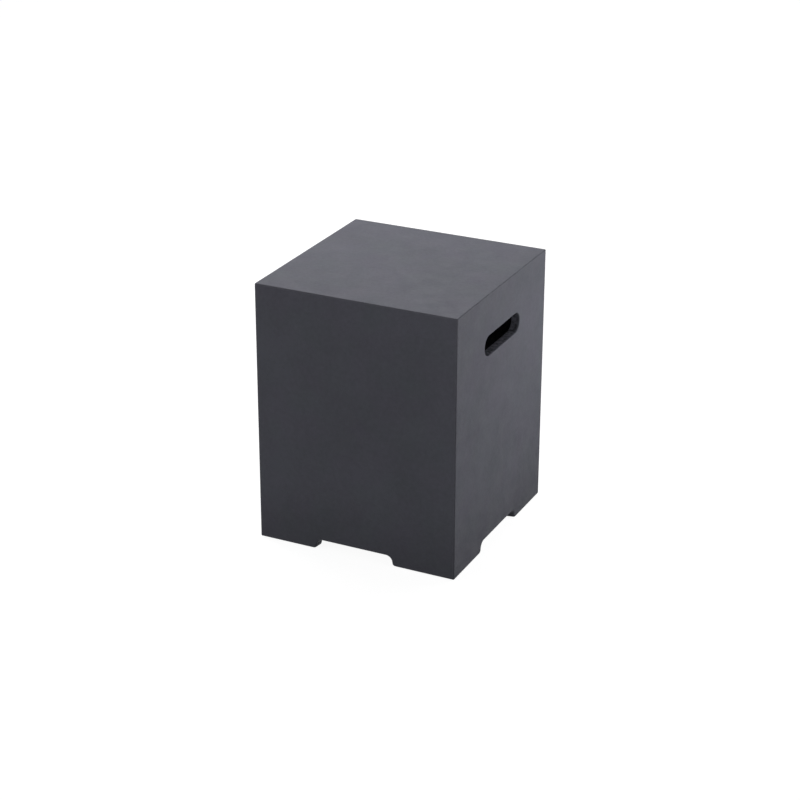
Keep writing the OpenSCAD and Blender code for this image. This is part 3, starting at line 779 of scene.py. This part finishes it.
# chopped strands that lie on the inside of the casting, above its rim
def strandTree(castInputs, strandInputs):
    tree, add, given = newTree("fibre_strands", castInputs | strandInputs | {"Glass": strandGlass})
    lining = add("GeometryNodeGroup", {label: given[label] for label in castInputs}, node_tree=hollowForm)
    spot = add("ShaderNodeSeparateXYZ", {0: add("GeometryNodeInputPosition")})
    above = add("ShaderNodeMath", {0: spot.outputs["Z"], 1: given["Clear of Rim"]}, operation="GREATER_THAN")

    # the hand slots and their lips are left bare
    offSlot = add("ShaderNodeMath", {0: spot.outputs["Z"], 1: given["Slot Centre"]}, operation="SUBTRACT")
    offSlot = add("ShaderNodeMath", {0: offSlot}, operation="ABSOLUTE")
    offSlot = add("ShaderNodeMath", {0: offSlot, 1: given["Slot Height"]}, operation="GREATER_THAN")
    sideways = add("ShaderNodeMath", {0: spot.outputs["Y"]}, operation="ABSOLUTE")
    bare = add("ShaderNodeMath", {0: given["Slot Length"], 1: 0.6}, operation="MULTIPLY")
    beside = add("ShaderNodeMath", {0: sideways, 1: bare}, operation="GREATER_THAN")
    clear = add("ShaderNodeMath", {0: offSlot, 1: beside}, operation="MAXIMUM")
    wanted = add("ShaderNodeMath", {0: above, 1: clear}, operation="MULTIPLY")
    spread = add("GeometryNodeDistributePointsOnFaces", {
        "Mesh": lining, "Selection": wanted, "Density": given["Strand Density"],
        "Seed": given["Strand Seed"]})

    # one strand of four sides, then spun on the spot, lifted a little at its ends and stretched
    halfLength = add("ShaderNodeMath", {0: given["Strand Length"], 1: 0.5}, operation="MULTIPLY")
    start = add("ShaderNodeMath", {0: halfLength, 1: -1.0}, operation="MULTIPLY")
    path = add("GeometryNodeCurveQuadraticBezier", {
        "Resolution": 4, "Start": add("ShaderNodeCombineXYZ", {"X": start}),
        "Middle": add("ShaderNodeCombineXYZ", {"Y": given["Strand Bend"]}),
        "End": add("ShaderNodeCombineXYZ", {"X": halfLength})})
    section = add("GeometryNodeCurvePrimitiveCircle", {"Resolution": 4, "Radius": given["Strand Radius"]})
    strand = add("GeometryNodeCurveToMesh", {"Curve": path, "Profile Curve": section, "Fill Caps": True})
    spin = add("FunctionNodeRandomValue", {
        "Min": (0.0, 0.0, 0.0), "Max": (0.12, 0.12, 2 * math.pi), "Seed": given["Strand Seed"]},
        data_type="FLOAT_VECTOR")
    lie = add("FunctionNodeRotateRotation", {
        "Rotation": spread.outputs["Rotation"], "Rotate By": spin}, rotation_space="LOCAL")
    stretch = add("FunctionNodeRandomValue", {
        "Min": (0.5, 0.5, 0.7), "Max": (1.0, 2.4, 1.1), "Seed": 3}, data_type="FLOAT_VECTOR")
    strands = add("GeometryNodeInstanceOnPoints", {
        "Points": spread.outputs["Points"], "Instance": strand, "Rotation": lie, "Scale": stretch})
    stood = add("GeometryNodeTranslateInstances", {
        "Instances": strands, "Translation": add("ShaderNodeCombineXYZ", {"Z": given["Stand"]}),
        "Local Space": False})
    whole = add("GeometryNodeRealizeInstances", {"Geometry": stood})
    coloured = add("GeometryNodeSetMaterial", {"Geometry": whole, "Material": given["Glass"]})
    add("NodeGroupOutput", {"Mesh": coloured})
    return tree


strandMetres = inMetres(strandSizes)
fibreStrands = growPiece("fibreStrands", strandTree(castMetres, strandMetres), castMetres | strandMetres)
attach(fibreStrands, "root")
print("strands laid:", len(fibreStrands.data.polygons), "faces")


# radius and height of each point of the section, from the top edge round the tip and up the well
footSection = {
    "outside": [
        (10.7, 10.0), (11.0, 9.7), (11.0, 2.3), (10.85, 1.9),
        (9.62, 0.95), (9.4, 0.45), (9.0, 0.12), (8.6, 0.0)],
    "grip rings": [
        (8.25, 0.0), (8.15, 0.45), (7.85, 0.45), (7.75, 0.0),
        (7.3, 0.0), (7.2, 0.45), (6.9, 0.45), (6.8, 0.0)],
    "well": [(6.35, 0.0), (6.1, 0.12), (6.0, 0.4), (6.0, 5.8), (5.8, 6.0), (2.25, 6.0), (2.25, 10.0)],
    "steps": 48,
}


# one foot, turned on the upright axis
def footMesh(section):
    points = section["outside"] + section["grip rings"] + section["well"]
    lathe = bmesh.new()
    rim = [lathe.verts.new((r * mm, 0, z * mm)) for r, z in points]
    edges = [lathe.edges.new((rim[i], rim[(i + 1) % len(rim)])) for i in range(len(rim))]
    bmesh.ops.spin(lathe, geom=rim + edges, axis=(0, 0, 1), cent=(0, 0, 0), angle=2 * math.pi,
                   steps=section["steps"])
    bmesh.ops.remove_doubles(lathe, verts=lathe.verts, dist=0.00001)
    bmesh.ops.recalc_face_normals(lathe, faces=lathe.faces)
    mesh = bpy.data.meshes.new("footSection")
    lathe.to_mesh(mesh)
    lathe.free()
    return mesh


footSizes = {"Across": (footLow.x + footHigh.x) / 2 / mm}


# the foot, set in each of the four recesses
def feetTree(sizes):
    tree, add, given = newTree("rubber_feet", sizes | {"Rubber": rubber}, takes="Mesh")
    corner = add("ShaderNodeCombineXYZ", {"X": given["Across"], "Y": given["Across"]})
    foot = add("GeometryNodeTransform", {"Geometry": given["Mesh"], "Translation": corner})
    feet = add("GeometryNodeGroup", {"Mesh": foot, "Count": 4}, node_tree=turnedCopies)
    add("NodeGroupOutput", {"Mesh": finishSolid(add, feet, 40, given["Rubber"])})
    return tree


footMetres = inMetres(footSizes)
rubberFeet = growPiece("rubberFeet", feetTree(footMetres), footMetres, footMesh(footSection))
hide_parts(*footNodes)
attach(rubberFeet, "root")
print("feet made:", len(rubberFeet.data.polygons), "faces")


# screws, washers and plugs stay as they are, in finishes of their own
for name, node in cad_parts.items():
    for start, finish in (("foot_washer", steel), ("foot_screw", steel), ("wall_plug", nylon)):
        for slot in node.material_slots if name.startswith(start) else ():
            slot.material = finish
print("fixings finished")


# 1 for a ray that only looks, from the camera or by way of gloss or glass, and 0 for one that lights
def lookingRay(add):
    ray = add("ShaderNodeLightPath").outputs
    looking = ray["Is Camera Ray"]
    for kind in ("Is Glossy Ray", "Is Transmission Ray"):
        looking = add("ShaderNodeMath", {0: looking, 1: ray[kind]}, operation="MAXIMUM")
    return looking


floorLook = {"side": 24.0, "glow": 0.93, "shown": 0.28, "bounce": 0.12, "shadowReach": 1.2, "whiteFrom": 3.0}
floor = bpy.data.objects.new("floor", bpy.data.meshes.new("floor"))
grid = bmesh.new()
bmesh.ops.create_grid(grid, x_segments=1, y_segments=1, size=floorLook["side"] / 2)
grid.to_mesh(floor.data)
grid.free()
bpy.context.scene.collection.objects.link(floor)


# white to the eye and in reflections, with the object's shadow kept in it as far as it reaches, and
# only a faint bounce on the object; open from below, so that the underside can be looked at
def paleFloor(look):
    material, add, spot = startMaterial("pale_floor")
    bounced = add("ShaderNodeBsdfDiffuse", {"Color": (look["bounce"],) * 3 + (1.0,)})
    plain = add("ShaderNodeBsdfDiffuse", {"Color": (look["shown"],) * 3 + (1.0,)})
    away = add("ShaderNodeVectorMath", {0: spot}, operation="LENGTH")
    glow = add("ShaderNodeMapRange", {
        "Value": away, "From Min": look["shadowReach"], "From Max": look["whiteFrom"],
        "To Min": look["glow"], "To Max": 1.0})
    white = add("ShaderNodeEmission", {"Color": (1.0, 1.0, 1.0, 1.0), "Strength": glow})
    shown = add("ShaderNodeAddShader", {0: plain, 1: white})
    both = add("ShaderNodeMixShader", {"Fac": lookingRay(add), 1: bounced, 2: shown})
    below = add("ShaderNodeNewGeometry").outputs["Backfacing"]
    clear = add("ShaderNodeBsdfTransparent")
    surface = add("ShaderNodeMixShader", {"Fac": below, 1: both, 2: clear})
    add("ShaderNodeOutputMaterial", {"Surface": surface})
    return material


floor.data.materials.append(paleFloor(floorLook))

# centre, size and power of each softbox; each looks at the middle of the object
lamps = {
    "overhead": {"place": (-0.6, 1.2, 2.4), "size": 1.6, "power": 27.4},
    "leftBox": {"place": (-2.4, 0.8, 1.4), "size": 1.4, "power": 31.3},
    "frontFill": {"place": (-2.0, -2.2, 1.2), "size": 1.4, "power": 20.3},
    "sideBox": {"place": (0.8, 0.1, 0.5), "size": 0.4, "power": 0.33},
    "sideBoxNear": {"place": (0.9, -0.5, 0.66), "size": 0.4, "power": 1.4},
    "sideBoxClose": {"place": (0.6, 0.3, 0.45), "size": 0.3, "power": 0.92},
}
for name, lamp in lamps.items():
    box = bpy.data.objects.new(name, bpy.data.lights.new(name, "AREA"))
    box.data.size, box.data.energy = lamp["size"], lamp["power"]
    aim = Vector(view["target"]) - Vector(lamp["place"])
    box.matrix_world = Matrix.Translation(lamp["place"]) @ aim.to_track_quat("-Z", "Y").to_matrix().to_4x4()
    box.visible_camera = False
    bpy.context.scene.collection.objects.link(box)

# white behind the object and in its reflections, and no light on it
room = bpy.data.worlds.new("room")
bpy.context.scene.world = room
room.use_nodes = True
room.node_tree.nodes.clear()
add = partial(addNode, room.node_tree)
backdrop = add("ShaderNodeBackground", {"Color": (1.0, 1.0, 1.0, 1.0), "Strength": lookingRay(add)})
add("ShaderNodeOutputWorld", {"Surface": backdrop})
bpy.context.scene.view_settings.view_transform = "Standard"
print("floor, lamps and room made")
